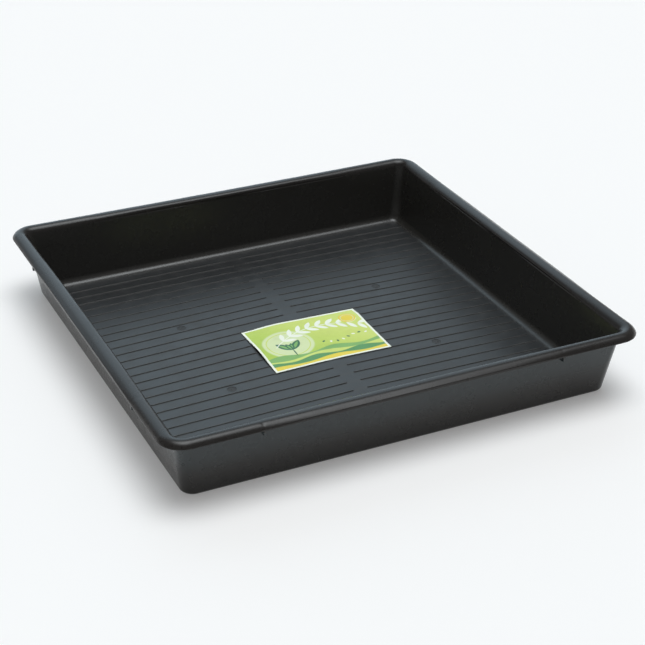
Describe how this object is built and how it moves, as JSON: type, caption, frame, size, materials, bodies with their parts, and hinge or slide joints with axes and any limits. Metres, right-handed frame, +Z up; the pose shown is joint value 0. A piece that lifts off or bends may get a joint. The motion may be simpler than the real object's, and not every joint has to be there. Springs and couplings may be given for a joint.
{
  "type": "planting tray",
  "caption": "Large square shallow planting tray of black moulded plastic, with leaning walls, a rolled rim, a ribbed floor and a printed label stuck inside.",
  "frame": {"origin": "middle of the tray's footprint, on the plane it stands on", "axes": "+Z up, +X along the front edge to the right, +Y from the front edge to the back"},
  "size_m": [0.8, 0.8, 0.116],
  "materials": {
    "tray_plastic": "black moulded plastic, satin on the walls and floor, a little glossier on the rim",
    "label_film": "lime green printed film with a white border, glossy"
  },
  "bodies": {
    "root": {"tray": "tray_plastic", "label": "label_film"}
  },
  "joints": []
}
